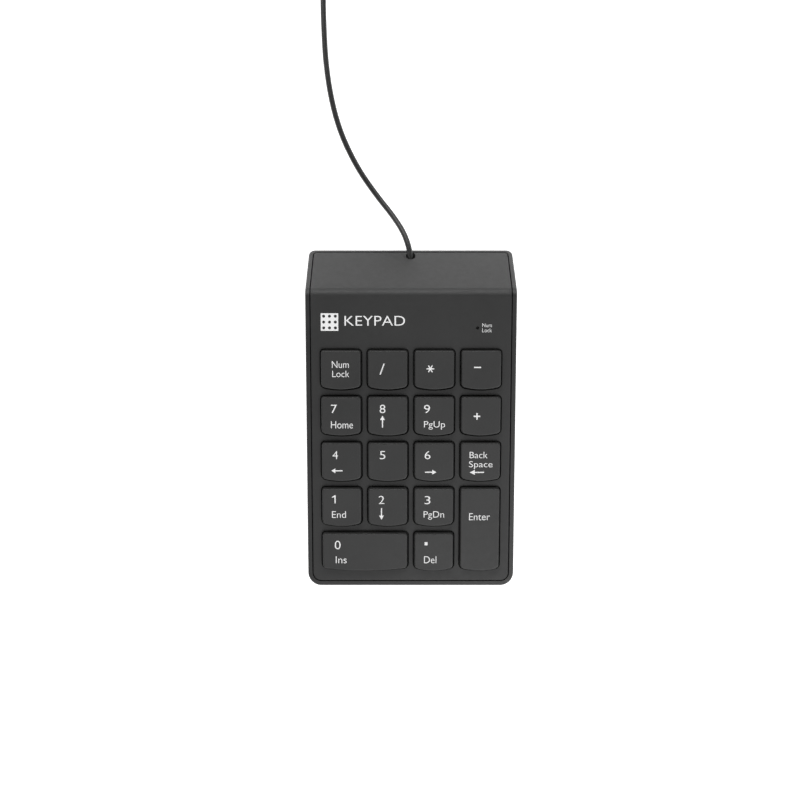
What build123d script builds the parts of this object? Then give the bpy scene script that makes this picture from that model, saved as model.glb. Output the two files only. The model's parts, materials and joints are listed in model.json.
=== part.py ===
from build123d import *
import math
import os

# Wired numeric keypad: a wedge-shaped case with a sloping deck of 18 keys.
# Millimetres. The origin is on the table under the middle of the case, +X to the right,
# +Y to the rear and +Z up. The case stands on four feet at Z = 0.

# ---- keys -------------------------------------------------------------------------------
key_pitch = 19.05  # from key to key, across and along the deck
key_columns = 4
key_rows = 5
side_spacing = 2.55  # between the feet of two neighbouring caps in a row
row_spacing = 2.7  # between the feet of two caps in a column
cap_gap = 0.35  # between a cap and the edge of its window
cap_rise = 2.4  # top of a cap above the deck
cap_skirt = 0.6  # how far its skirt hangs below the deck's face
cap_roof = 1.2
cap_wall = 1.1
cap_draft = 5.0  # degrees
cap_edge_radius = 0.35
cap_belly = 1.2  # how far the curved front edge swells past its corners
cap_rear_corner = 1.3
cap_front_corner = 2.0
stem_radius = 2.5
stem_reach = 0.2  # how far a stem passes through the guide plate
lug_reach = 0.8  # a stem's two keeper lugs, past the stem
lug_width = 1.2
lug_height = 0.6
key_travel = 2.3

# name, column from the left, row from the rear, columns wide, rows long
key_list = [
    ("key_num_lock", 0, 0, 1, 1),
    ("key_divide", 1, 0, 1, 1),
    ("key_multiply", 2, 0, 1, 1),
    ("key_minus", 3, 0, 1, 1),
    ("key_7", 0, 1, 1, 1),
    ("key_8", 1, 1, 1, 1),
    ("key_9", 2, 1, 1, 1),
    ("key_plus", 3, 1, 1, 1),
    ("key_4", 0, 2, 1, 1),
    ("key_5", 1, 2, 1, 1),
    ("key_6", 2, 2, 1, 1),
    ("key_backspace", 3, 2, 1, 1),
    ("key_1", 0, 3, 1, 1),
    ("key_2", 1, 3, 1, 1),
    ("key_3", 2, 3, 1, 1),
    ("key_enter", 3, 3, 1, 2),
    ("key_0", 0, 4, 2, 1),
    ("key_decimal", 2, 4, 1, 1),
]

# ---- key module under the deck, as depths below the deck's face --------------------------
travel_clearance = 0.3
guide_plate = 0.8
guide_clearance = 0.15  # between a stem and its guide tube, all round
guide_tube_wall = 1.35
slot_clearance = 0.2
frame_rib = 1.2
dome_crush = 0.3  # thickness of a dome when it is pressed flat
dome_gap = 0.05
dome_base_radius = 4.6
dome_top_radius = 2.4
dome_wall = 0.5
plunger_radius = 1.2
mat_sheet = 0.4
membrane_layer = 0.15
spacer_hole_radius = 2.6
support_sheet = 0.5
module_side_gap = 0.8  # between the module and the cover's skirt
module_overhang = 0.6  # past the outermost key cells, front and rear
layer_inset = 0.4  # each layer is this much smaller than the frame
module_floor_gap = 0.2  # between the support plate and the case floor at the front

# ---- case -------------------------------------------------------------------------------
side_margin = 4.9  # from the outermost key cells to the case's sides
front_margin = 5.42  # the same at the front, along the deck
panel_length = 22.26  # level distance from the rear key cells to the ridge
slope_run = 19.3  # level distance from the ridge to the rear face
deck_tilt = 8.2  # degrees
rear_height = 5.5
ridge_radius = 4.5
front_corner_radius = 5.5
rear_corner_radius = 2.5
least_corner = 0.4
foot_height = 1.0
floor_thickness = 1.5
rim_width = 1.8  # the lower case's wall, seen all round the cover
rear_thinning = 1.0  # that wall is this much thinner at the rear
window_round = 0.2  # along the top edges of the cap windows
rim_edge_radius = 0.7
groove = 0.3  # between the wall and the cover
cover_thickness = 2.0
cover_edge_radius = 0.4
skirt_thickness = 1.5
skirt_lift = 0.3  # the skirt stops this far above the case floor
boss_wall = 1.75
small_boss_wall = 1.0
tongue_length = 10.0
tongue_reach = 1.0
tongue_height = 1.2
tongue_place = 22.0
tongue_lift = 0.6
fit_clearance = 0.3

# ---- fasteners, feet --------------------------------------------------------------------
small_screw_radius = 0.95
small_head_radius = 1.9
small_head_height = 1.1
case_screw_radius = 1.2
case_head_radius = 2.3
case_head_height = 1.6
head_round = 0.4
driver_slot = 0.5  # width of the cross in a screw's head
screw_clearance = 0.25
pilot_clearance = 0.05
case_screw_inset = 9.0  # from the case's side
case_screw_rear_insets = (34.6, 16.6)  # from its rear end
case_joint_height = 8.0  # where the case's pillars meet the cover's bosses
foot_radius = 4.5
foot_recess = 0.6
foot_round = 0.3
foot_side_inset = 10.0
foot_rear_inset = 6.6
foot_front_inset = 12.6

# ---- electronics ------------------------------------------------------------------------
board_length = 60.0
board_width = 12.5
board_thickness = 1.6
board_gap = 10.125  # from the rear key cells to the board's middle, along the deck
board_screw_place = 19.0
tail_width = 24.0
bar_length = 46.0
bar_width = 6.0
bar_height = 2.0
bar_round = 0.3
pad_width = 3.0
pad_height = 1.0
lamp_side = 27.0
lamp_gap = 7.535  # from the rear key cells, along the deck
lamp_radius = 1.5
lamp_height = 3.6
lamp_round = 1.35
pipe_radius = 0.6
pipe_hole_radius = 0.65
pipe_recess = 0.8
pipe_flange_radius = 2.0
pipe_flange = 0.8
chip_size = (9.0, 7.0, 1.4)
chip_side = 9.0
connector_size = (10.0, 5.0, 3.5)
connector_side = -10.0
wire_radius = 0.4
wire_spacing = 1.0
wire_gap = 0.1  # between a wire's end and the connector's sloping underside
wire_run = 5.0  # straight out of the cable's sleeve
wire_corner = 1.5

# ---- stabilisers of the two large keys --------------------------------------------------
wire_bar_radius = 0.6
wire_bar_half = 12.0
wire_bar_gap = 0.4  # between the pivot bar and a guide tube
wire_arm = 7.5
wire_leg = 2.6
wire_bend = 1.0
wire_lift = 0.1  # between the pivot bar and the guide plate
clip_place = 7.5
clip_width = 2.0
clip_wall = 0.7
hook_width = 1.3
hook_wall = 0.7
hook_play = 0.2

# ---- cable and plug ---------------------------------------------------------------------
cable_radius = 1.2
cable_hole_gap = 0.8  # round the cable
cable_hole_height = 8.55
clamp_length = 15.0
clamp_width = 6.0
clamp_height = 2.9
clamp_inset = 9.6  # from the case's rear end
clamp_screw_side = 4.8
coil_centre = (-23.0, 203.0)
coil_turn_radius = 14.4
coil_thickness = 9.8
coil_corner = 2.4
tie_thickness = 0.8
tie_width = 4.0
tie_head = (3.0, 4.6, 4.4)
tie_round = 0.5
plug_axis = (219.0, 4.0)  # the plug's Y and Z
plug_rear = -3.0
relief_length = 10.0
relief_radii = (2.0, 2.6)
plug_body = (24.0, 15.5, 8.0)
plug_corner = 2.2
plug_round = 0.6
shell_section = (12.0, 4.5)
shell_wall = 0.3
shell_reach = 12.0
shell_seat = 6.0
latch_hole = (2.0, 2.4)  # the shell's four latch holes
latch_place = 5.9
latch_side = 2.8
tongue_section = (11.1, 1.84)
tongue_back = 0.4
contact_count = 4
contact_pitch = 2.3
contact_size = (8.5, 1.2, 0.2)
contact_place = 1.5

# The cable from its clamp, out of the rear hole, down to the table and on to the coil.
cable_route = [
    (0.0, 55.5, 8.5),
    (0.0, 66.0, 8.5),
    (-2.0, 76.2, 7.0),
    (-7.0, 85.0, 3.6),
    (-14.5, 94.5, 1.6),
    (-23.5, 107.5, 1.2),
    (-31.5, 125.0, 1.2),
    (-36.0, 147.0, 1.2),
    (-37.3, 171.0, 1.2),
    (-37.4, 190.0, 1.2),
]
# The cable from the coil to the plug.
tail_route = [
    (-21.0, 217.3, 4.6),
    (-12.0, 218.7, 4.1),
    (-3.0, 219.0, 4.0),
]

# ---- worked out from the sizes above ----------------------------------------------------
tilt = math.radians(deck_tilt)
field_width = key_columns * key_pitch
field_length = key_rows * key_pitch
case_width = field_width + 2 * side_margin
case_length = (front_margin + field_length) * math.cos(tilt) + panel_length + slope_run
field_middle = (front_margin + field_length / 2) * math.cos(tilt) - case_length / 2
floor_top = foot_height + floor_thickness

guide_top = -(cap_skirt + key_travel + travel_clearance)
guide_bottom = guide_top - guide_plate
tube_top = cap_rise - cap_roof - key_travel - travel_clearance
tube_radius = stem_radius + guide_clearance + guide_tube_wall
stem_bottom = guide_bottom - stem_reach
membrane_face = stem_bottom - key_travel - dome_crush
mat_face = membrane_face + mat_sheet
spacer_face = membrane_face - membrane_layer
tail_face = spacer_face - membrane_layer
support_face = tail_face - membrane_layer
support_back = support_face - support_sheet
lug_top = guide_top + lug_height
frame_width = case_width - 2 * (rim_width + groove + skirt_thickness + module_side_gap)
frame_length = field_length + 2 * module_overhang

# The deck stands just high enough for the module's front edge to clear the case floor.
deck_height = (
    floor_top
    + module_floor_gap
    + (frame_length / 2 - layer_inset) * math.sin(tilt)
    - support_back * math.cos(tilt)
)
front_height = deck_height - (field_middle + case_length / 2) * math.tan(tilt)
ridge_place = case_length / 2 - slope_run
ridge_height = deck_height + (ridge_place - field_middle) * math.tan(tilt)
slope_fall = (ridge_height - rear_height) / slope_run
deck = Plane(
    origin=(0, field_middle, deck_height),
    x_dir=(1, 0, 0),
    z_dir=(0, -math.sin(tilt), math.cos(tilt)),
)
cover_inset = rim_width + groove
cable_hole_radius = cable_radius + cable_hole_gap
clamp_rear = case_length / 2 - clamp_inset
foot_side = case_width / 2 - foot_side_inset
foot_rear = case_length / 2 - foot_rear_inset
foot_front = foot_front_inset - case_length / 2
wire_bar_offset = tube_radius + wire_bar_radius + wire_bar_gap
board_place = field_length / 2 + board_gap
lamp_place = field_length / 2 + lamp_gap
skirt_bottom = floor_top + skirt_lift
board_face = support_face
board_back = board_face - board_thickness
bar_bottom = tail_face + pad_height
bar_top = bar_bottom + bar_height
board_screws_at = [(-board_screw_place, board_place), (board_screw_place, board_place)]
case_screw_side = case_width / 2 - case_screw_inset
case_screws_at = [
    (side * case_screw_side, case_length / 2 - inset) for side in (-1, 1) for inset in case_screw_rear_insets
]
# The module's screws stand where the ribs between four caps cross.
module_screws_at = [
    (-key_pitch, key_pitch * 1.5),
    (key_pitch, key_pitch * 1.5),
    (-key_pitch, -key_pitch * 0.5),
    (key_pitch, -key_pitch * 0.5),
    (0, -key_pitch * 1.5),
]


def key_place(column, row, wide, long):
    """The middle of a key on the deck, from the middle of the key field."""
    across = (column + wide / 2 - key_columns / 2) * key_pitch
    along = (key_rows / 2 - row - long / 2) * key_pitch
    return across, along


def key_size(wide, long):
    """A cap's width and length at its foot."""
    return wide * key_pitch - side_spacing, long * key_pitch - row_spacing


key_places = [key_place(*key[1:]) for key in key_list]
places = {key[0]: key_place(*key[1:]) for key in key_list}


def cap_outline(wide, long, grown):
    """A cap's outline: three straight sides and a front edge that swells forward."""
    width, length = (size + 2 * grown for size in key_size(wide, long))
    shoulder = cap_belly - length / 2
    with BuildSketch() as outline:
        with BuildLine():
            Polyline(
                (width / 2, shoulder),
                (width / 2, length / 2),
                (-width / 2, length / 2),
                (-width / 2, shoulder),
            )
            ThreePointArc((-width / 2, shoulder), (0, -length / 2), (width / 2, shoulder))
        make_face()
        fillet(outline.vertices().group_by(Axis.Y)[-1], cap_rear_corner + grown)
        fillet(outline.vertices().group_by(Axis.Y)[0], cap_front_corner + grown)
    return outline.sketch


def case_outline(inset):
    """The case seen from above, moved in by inset, and by less at the rear, where its wall is thinner."""
    rear_inset = max(inset - rear_thinning, 0)
    with BuildSketch() as outline:
        with Locations((0, (inset - rear_inset) / 2)):
            Rectangle(case_width - 2 * inset, case_length - inset - rear_inset)
        front = max(front_corner_radius - inset, least_corner)
        rear = max(rear_corner_radius - rear_inset, least_corner)
        fillet(outline.vertices().group_by(Axis.Y)[0], front)
        fillet(outline.vertices().group_by(Axis.Y)[-1], rear)
    return outline.sketch


def side_outline(drop):
    """The case's roof line seen from the side, moved in by drop, on a base far below."""
    far = case_length
    front_far = deck_height - (far + field_middle) * math.tan(tilt)
    rear_far = ridge_height - (far - ridge_place) * slope_fall
    deep = rear_far - far
    with BuildSketch() as outline:
        with BuildLine():
            Polyline(
                (-far, deep),
                (-far, front_far),
                (ridge_place, ridge_height),
                (far, rear_far),
                (far, deep),
                close=True,
            )
        make_face()
        fillet(outline.vertices().sort_by(Axis.Y)[-1], ridge_radius)
        if drop:
            offset(amount=-drop, kind=Kind.INTERSECTION, mode=Mode.REPLACE)
    return outline.sketch


def wedge(inset, drop, bottom):
    """The case's solid shape above bottom, moved in by inset and under a roof lowered by drop."""
    with BuildPart() as block:
        with BuildSketch(Plane.XY.offset(bottom)):
            add(case_outline(inset))
        extrude(amount=2 * ridge_height)
        with BuildSketch(Plane.YZ):
            add(side_outline(drop))
        extrude(amount=case_width, both=True, mode=Mode.INTERSECT)
    return block.part


def roof_rim(part):
    """The edges round the roof of a wedge: those that only one roof face has."""
    roof = part.faces().filter_by(lambda face: face.normal_at().Z > 0.5)
    edges = [edge for face in roof for edge in face.edges()]
    return [edge for edge in edges if sum(edge.is_same(other) for other in edges) == 1]


def keep(part, name):
    """Labels a finished sub-part and writes it out."""
    part.label = name
    export_step(part, f"parts/{name}.step")


os.makedirs("parts", exist_ok=True)

# ---- bottom case ------------------------------------------------------------------------
with BuildPart() as bottom_case:
    add(wedge(0, 0, foot_height))
    fillet(roof_rim(bottom_case.part), rim_edge_radius)
    with BuildSketch(Plane.XY.offset(floor_top)):
        add(case_outline(rim_width))
    extrude(amount=2 * ridge_height, mode=Mode.SUBTRACT)
    # pillars for the case screws, with their heads sunk from below
    with BuildSketch(Plane.XY.offset(floor_top)):
        with Locations(*case_screws_at):
            Circle(case_screw_radius + screw_clearance + boss_wall)
    extrude(amount=case_joint_height - floor_top)
    with Locations(*[(x, y, foot_height) for x, y in case_screws_at]):
        Cylinder(
            case_head_radius + screw_clearance,
            case_head_height + screw_clearance,
            align=(Align.CENTER, Align.CENTER, Align.MIN),
            mode=Mode.SUBTRACT,
        )
        Cylinder(
            case_screw_radius + screw_clearance,
            case_joint_height,
            align=(Align.CENTER, Align.CENTER, Align.MIN),
            mode=Mode.SUBTRACT,
        )
    # seat under the cable clamp
    with BuildSketch(Plane.XY.offset(floor_top)):
        with Locations((0, clamp_rear - clamp_width / 2)):
            Rectangle(clamp_length, clamp_width)
    extrude(amount=cable_route[0][2] - fit_clearance / 2 - floor_top)
    with Locations(*[(side * clamp_screw_side, clamp_rear - clamp_width / 2) for side in (-1, 1)]):
        with Locations((0, 0, floor_top)):
            Cylinder(
                small_screw_radius + pilot_clearance,
                cable_route[0][2],
                align=(Align.CENTER, Align.CENTER, Align.MIN),
                mode=Mode.SUBTRACT,
            )
    # way out for the cable, and slots for the cover's front tongues
    with BuildSketch(Plane.XZ.offset(-clamp_rear + 2 * clamp_width)):
        with Locations((0, cable_route[0][2])):
            Circle(cable_radius + pilot_clearance)
    extrude(amount=-3 * clamp_width, mode=Mode.SUBTRACT)
    with BuildSketch(Plane.XZ.offset(-clamp_rear)):
        with Locations((0, cable_hole_height)):
            Circle(cable_hole_radius)
    extrude(amount=-case_length, mode=Mode.SUBTRACT)
    for side in (-1, 1):
        with Locations((side * tongue_place, rim_width - case_length / 2, skirt_bottom + tongue_lift)):
            Box(
                tongue_length + 2 * fit_clearance,
                2 * (tongue_reach + groove / 2),
                tongue_height + 2 * fit_clearance,
                mode=Mode.SUBTRACT,
            )
    # seats for the feet
    with BuildSketch(Plane.XY.offset(foot_height)):
        with Locations(*[(side * foot_side, y) for side in (-1, 1) for y in (foot_front, foot_rear)]):
            Circle(foot_radius)
    extrude(amount=foot_recess, mode=Mode.SUBTRACT)
keep(bottom_case.part, "bottom_case")

# ---- top cover --------------------------------------------------------------------------
with BuildPart() as case_bosses:
    with BuildSketch(Plane.XY.offset(case_joint_height + fit_clearance)):
        with Locations(*case_screws_at):
            Circle(case_screw_radius + pilot_clearance + boss_wall)
    extrude(amount=2 * ridge_height)
    add(wedge(cover_inset, cover_thickness / 2, skirt_bottom), mode=Mode.INTERSECT)

with BuildPart() as top_cover:
    add(wedge(cover_inset, 0, skirt_bottom))
    fillet(roof_rim(top_cover.part), cover_edge_radius)
    add(wedge(cover_inset + skirt_thickness, cover_thickness, skirt_bottom), mode=Mode.SUBTRACT)
    # windows for the caps
    for _, column, row, wide, long in key_list:
        with BuildSketch(deck.offset(-2 * cover_thickness)):
            with Locations(key_place(column, row, wide, long)):
                add(cap_outline(wide, long, cap_gap))
        extrude(amount=4 * cover_thickness, mode=Mode.SUBTRACT)
    deck_axis = Axis(deck.origin, deck.z_dir)
    roof = top_cover.faces().filter_by(deck_axis).sort_by(deck_axis)[-1]
    fillet([edge for rim in roof.inner_wires() for edge in rim.edges()], window_round)
    # bosses for the case screws, with their pilot holes
    add(case_bosses.part)
    with BuildSketch(Plane.XY.offset(case_joint_height)):
        with Locations(*case_screws_at):
            Circle(case_screw_radius + pilot_clearance)
    extrude(amount=case_joint_height, mode=Mode.SUBTRACT)
    # bosses for the module's screws and for the board's
    with BuildSketch(deck.offset(guide_top)):
        with Locations(*module_screws_at):
            Circle(small_screw_radius + pilot_clearance + small_boss_wall)
    extrude(amount=-guide_top - cover_thickness / 2)
    with BuildSketch(deck.offset(bar_top)):
        with Locations(*board_screws_at):
            Circle(small_screw_radius + pilot_clearance + small_boss_wall)
    extrude(amount=-bar_top - cover_thickness / 2)
    with BuildSketch(deck.offset(bar_top)):
        with Locations(*module_screws_at, *board_screws_at):
            Circle(small_screw_radius + pilot_clearance)
    extrude(amount=-bar_top - cover_thickness / 2, mode=Mode.SUBTRACT)
    # hole for the light pipe
    with BuildSketch(deck.offset(-2 * cover_thickness)):
        with Locations((lamp_side, lamp_place)):
            Circle(pipe_hole_radius)
    extrude(amount=4 * cover_thickness, mode=Mode.SUBTRACT)
    # cable hole, and the two front tongues
    with BuildSketch(Plane.XZ.offset(-clamp_rear)):
        with Locations((0, cable_hole_height)):
            Circle(cable_hole_radius)
    extrude(amount=-case_length, mode=Mode.SUBTRACT)
    for side in (-1, 1):
        with Locations((side * tongue_place, cover_inset - case_length / 2, skirt_bottom + tongue_lift)):
            Box(tongue_length, 2 * tongue_reach, tongue_height)
keep(top_cover.part, "top_cover")

# ---- key caps ---------------------------------------------------------------------------
for name, column, row, wide, long in key_list:
    place = key_place(column, row, wide, long)
    with BuildPart() as cap:
        with BuildSketch(deck.offset(-cap_skirt)):
            with Locations(place):
                add(cap_outline(wide, long, 0))
        extrude(amount=cap_skirt + cap_rise, taper=cap_draft)
        top = cap.faces().sort_by(Axis(deck.origin, deck.z_dir))[-1]
        fillet(top.edges(), cap_edge_radius)
        with BuildSketch(deck.offset(-cap_skirt)):
            with Locations(place):
                add(cap_outline(wide, long, -cap_wall))
        extrude(amount=cap_skirt + cap_rise - cap_roof, taper=cap_draft, mode=Mode.SUBTRACT)
        with BuildSketch(deck.offset(stem_bottom)):
            with Locations(place):
                Circle(stem_radius)
        extrude(amount=cap_rise - cap_roof - stem_bottom)
        with BuildSketch(deck.offset(lug_top - lug_height)):
            with Locations(place):
                Rectangle(2 * (stem_radius + lug_reach), lug_width)
        extrude(amount=lug_height)
        if wide * long > 1:
            # hooks that hold the stabiliser wire's two legs, in line with its pivot bar
            turn = 0 if wide > 1 else 90
            half_swing = math.asin(key_travel / 2 / wire_arm)
            leg_depth = guide_top + wire_bar_radius + wire_lift + key_travel / 2
            leg_side = wire_arm * math.cos(half_swing) - wire_bar_offset
            hook_depth = leg_depth - wire_bar_radius - hook_play / 2 - hook_wall
            hook_place = wire_bar_half - wire_leg + hook_width / 2 + hook_play
            for side in (-1, 1):
                at = (side * hook_place, leg_side)
                if turn:
                    at = (leg_side, side * hook_place)
                at = (place[0] + at[0], place[1] + at[1])
                with BuildSketch(deck.offset(hook_depth)):
                    with Locations(Location(at, turn)):
                        Rectangle(hook_width, 2 * (wire_bar_radius + hook_play + hook_wall))
                extrude(amount=cap_rise - cap_roof - hook_depth)
                with BuildSketch(deck.offset(leg_depth - wire_bar_radius - hook_play / 2)):
                    with Locations(Location(at, turn)):
                        Rectangle(2 * hook_width, 2 * (wire_bar_radius + hook_play))
                extrude(amount=2 * wire_bar_radius + hook_play, mode=Mode.SUBTRACT)
    keep(cap.part, name)

# ---- guide frame ------------------------------------------------------------------------
large_keys = [("key_0", 0), ("key_enter", 90)]
with BuildPart() as guide_frame:
    with BuildSketch(deck.offset(guide_bottom)):
        Rectangle(frame_width, frame_length)
    extrude(amount=guide_plate)
    with BuildSketch(deck.offset(mat_face)) as rib:
        Rectangle(frame_width, frame_length)
        offset(amount=-frame_rib, mode=Mode.SUBTRACT)
        with Locations(*module_screws_at):
            Circle(small_screw_radius + screw_clearance + frame_rib)
    extrude(amount=guide_bottom - mat_face)
    with BuildSketch(deck.offset(guide_bottom)):
        with Locations(*key_places):
            Circle(tube_radius)
    extrude(amount=tube_top - guide_bottom)
    for name, turn in large_keys:
        place = places[name]
        for side in (-1, 1):
            along, out = side * clip_place, -wire_bar_offset
            at = (along, out) if turn == 0 else (out, along)
            at = (place[0] + at[0], place[1] + at[1])
            clip_height = 2 * wire_bar_radius + wire_lift
            with BuildSketch(deck.offset(guide_top)):
                with Locations(Location(at, turn)):
                    Rectangle(clip_width, 2 * (wire_bar_radius + clip_wall))
            extrude(amount=clip_height)
            with BuildSketch(deck.offset(guide_top)):
                with Locations(Location(at, turn)):
                    Rectangle(2 * clip_width, 2 * (wire_bar_radius + wire_lift))
            extrude(amount=clip_height, mode=Mode.SUBTRACT)
            # window that the wire's arm and the cap's hook dip into
            window_long = wire_leg + 2 * wire_bar_radius + 2 * hook_play
            along = side * (wire_bar_half + wire_bar_radius + hook_play - window_long / 2 + slot_clearance)
            window_wide = wire_arm + 2 * (hook_wall + hook_play)
            out = window_wide / 2 - wire_bar_offset + wire_bar_radius + hook_play
            at = (along, out) if turn == 0 else (out, along)
            at = (place[0] + at[0], place[1] + at[1])
            with BuildSketch(deck.offset(guide_bottom)):
                with Locations(Location(at, turn)):
                    Rectangle(window_long, window_wide)
            extrude(amount=guide_plate, mode=Mode.SUBTRACT)
    with BuildSketch(deck.offset(mat_face)):
        with Locations(*key_places):
            Circle(stem_radius + guide_clearance)
        with Locations(*module_screws_at):
            Circle(small_screw_radius + screw_clearance)
    extrude(amount=tube_top - mat_face, mode=Mode.SUBTRACT)
    with BuildSketch(deck.offset(guide_bottom)):
        with Locations(*key_places):
            Rectangle(2 * (stem_radius + lug_reach + slot_clearance), lug_width + 2 * slot_clearance)
    extrude(amount=lug_top + slot_clearance - guide_bottom, mode=Mode.SUBTRACT)
keep(guide_frame.part, "guide_frame")

# ---- stabiliser wires -------------------------------------------------------------------
for name, turn in large_keys:
    place = places[name]
    half_swing = math.asin(key_travel / 2 / wire_arm)
    pivot_depth = guide_top + wire_bar_radius + wire_lift
    reach = wire_arm * math.cos(half_swing)
    bar = wire_bar_half
    corners = [(-bar + wire_leg, 1), (-bar, 1), (-bar, 0), (bar, 0), (bar, 1), (bar - wire_leg, 1)]
    points = []
    for along, raised in corners:
        out = raised * reach - wire_bar_offset
        u, v = (along, out) if turn == 0 else (out, along)
        depth = pivot_depth + raised * key_travel / 2
        points.append(deck.from_local_coords((place[0] + u, place[1] + v, depth)))
    with BuildPart() as wire:
        with BuildLine() as path:
            FilletPolyline(*points, radius=wire_bend)
        with BuildSketch(path.line ^ 0):
            Circle(wire_bar_radius)
        sweep(path=path.line)
    keep(wire.part, "zero_stabiliser_wire" if turn == 0 else "enter_stabiliser_wire")

# ---- dome mat ---------------------------------------------------------------------------
dome_top = stem_bottom - dome_gap
with BuildPart() as dome_mat:
    with BuildSketch(deck.offset(membrane_face)):
        Rectangle(frame_width - 2 * layer_inset, frame_length - 2 * layer_inset)
        with Locations(*module_screws_at):
            Circle(small_screw_radius + screw_clearance, mode=Mode.SUBTRACT)
    extrude(amount=mat_sheet)
    with BuildSketch(deck.offset(membrane_face)):
        with Locations(*key_places):
            Circle(dome_base_radius - dome_wall, mode=Mode.ADD)
    extrude(amount=mat_sheet, mode=Mode.SUBTRACT)
    for place in key_places:
        with Locations(Location(deck.from_local_coords((*place, mat_face)), (deck_tilt, 0, 0))):
            Cone(
                dome_base_radius,
                dome_top_radius,
                dome_top - mat_face,
                align=(Align.CENTER, Align.CENTER, Align.MIN),
            )
            Cone(
                dome_base_radius - dome_wall,
                dome_top_radius - dome_wall,
                dome_top - mat_face - dome_wall,
                align=(Align.CENTER, Align.CENTER, Align.MIN),
                mode=Mode.SUBTRACT,
            )
            Cylinder(
                plunger_radius,
                dome_top - mat_face,
                align=(Align.CENTER, Align.CENTER, Align.MIN),
            )
keep(dome_mat.part, "dome_mat")

# ---- membrane layers and support plate --------------------------------------------------
layers = [
    ("membrane_top", spacer_face, membrane_layer, 0, 0),
    ("membrane_spacer", tail_face, membrane_layer, spacer_hole_radius, 0),
    ("membrane_bottom", support_face, membrane_layer, 0, tail_width),
    ("support_plate", support_back, support_sheet, 0, 0),
]
layer_length = frame_length - 2 * layer_inset
for name, depth, thickness, hole_radius, tail in layers:
    with BuildPart() as layer:
        with BuildSketch(deck.offset(depth)):
            Rectangle(frame_width - 2 * layer_inset, layer_length)
            if tail:
                tail_end = board_place + pad_width / 2
                with Locations((0, tail_end / 2)):
                    Rectangle(tail, tail_end)
            if hole_radius:
                with Locations(*key_places):
                    Circle(hole_radius, mode=Mode.SUBTRACT)
            with Locations(*module_screws_at):
                Circle(small_screw_radius + screw_clearance, mode=Mode.SUBTRACT)
        extrude(amount=thickness)
    keep(layer.part, name)

# ---- controller board and what is on it -------------------------------------------------
with BuildPart() as controller_board:
    with BuildSketch(deck.offset(board_back)):
        with Locations((0, board_place)):
            Rectangle(board_length, board_width)
        with Locations(*board_screws_at):
            Circle(small_screw_radius + screw_clearance, mode=Mode.SUBTRACT)
    extrude(amount=board_thickness)
keep(controller_board.part, "controller_board")

for name, side, (length, width, height) in [
    ("controller_chip", chip_side, chip_size),
    ("wire_connector", connector_side, connector_size),
]:
    with BuildPart() as piece:
        with BuildSketch(deck.offset(board_back)):
            with Locations((side, board_place)):
                Rectangle(length, width)
        extrude(amount=-height)
    keep(piece.part, name)

with BuildPart() as pressure_pad:
    with BuildSketch(deck.offset(tail_face)):
        with Locations((0, board_place)):
            Rectangle(tail_width, pad_width)
    extrude(amount=pad_height)
keep(pressure_pad.part, "pressure_pad")

with BuildPart() as pressure_bar:
    with BuildSketch(deck.offset(bar_bottom)):
        with Locations((0, board_place)):
            Rectangle(bar_length, bar_width)
        with Locations(*board_screws_at):
            Circle(small_screw_radius + screw_clearance, mode=Mode.SUBTRACT)
    extrude(amount=bar_height)
    fillet(pressure_bar.faces().sort_by(Axis(deck.origin, deck.z_dir))[-1].outer_wire().edges(), bar_round)
    # two feet that stand on the board beside the tail
    with BuildSketch(deck.offset(board_face)):
        with Locations(*board_screws_at):
            Circle(small_screw_radius + screw_clearance + small_boss_wall)
            Circle(small_screw_radius + screw_clearance, mode=Mode.SUBTRACT)
    extrude(amount=bar_bottom - board_face)
keep(pressure_bar.part, "pressure_bar")

with BuildPart() as indicator_led:
    with BuildSketch(deck.offset(board_face)):
        with Locations((lamp_side, lamp_place)):
            Circle(lamp_radius)
    extrude(amount=lamp_height)
    fillet(indicator_led.faces().sort_by(Axis(deck.origin, deck.z_dir))[-1].edges(), lamp_round)
keep(indicator_led.part, "indicator_led")

with BuildPart() as light_pipe:
    with BuildSketch(deck.offset(-cover_thickness - pipe_flange)):
        with Locations((lamp_side, lamp_place)):
            Circle(pipe_flange_radius)
    extrude(amount=pipe_flange)
    with BuildSketch(deck.offset(-cover_thickness)):
        with Locations((lamp_side, lamp_place)):
            Circle(pipe_radius)
    extrude(amount=cover_thickness - pipe_recess)
keep(light_pipe.part, "light_pipe")

# ---- screws -----------------------------------------------------------------------------
def screws(name, plane, at, seat, tip, shaft_radius, head_radius, head_height):
    """Pan-head screws whose heads hang below seat and whose shafts rise to tip, in one node."""
    with BuildPart() as group:
        with BuildSketch(plane.offset(seat)):
            with Locations(*at):
                Circle(head_radius)
        extrude(amount=-head_height)
        fillet(group.faces().group_by(Axis(plane.origin, plane.z_dir))[0].edges(), head_round)
        with BuildSketch(plane.offset(seat - head_height)):
            with Locations(*at):
                SlotOverall(1.1 * head_radius, driver_slot)
                SlotOverall(1.1 * head_radius, driver_slot, rotation=90)
        extrude(amount=head_height / 2, mode=Mode.SUBTRACT)
        with BuildSketch(plane.offset(seat)):
            with Locations(*at):
                Circle(shaft_radius)
        extrude(amount=tip - seat)
    keep(group.part, name)


small = (small_screw_radius, small_head_radius, small_head_height)
screw_tip = -cover_thickness / 2 - fit_clearance
screws("module_screws", deck, module_screws_at, support_back, screw_tip, *small)
screws("board_screws", deck, board_screws_at, board_back, screw_tip, *small)
case_seat = foot_height + case_head_height + screw_clearance
case_tip = 2 * case_joint_height - fit_clearance
case_sizes = (case_screw_radius, case_head_radius, case_head_height)
screws("case_screws", Plane.XY, case_screws_at, case_seat, case_tip, *case_sizes)

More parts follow.
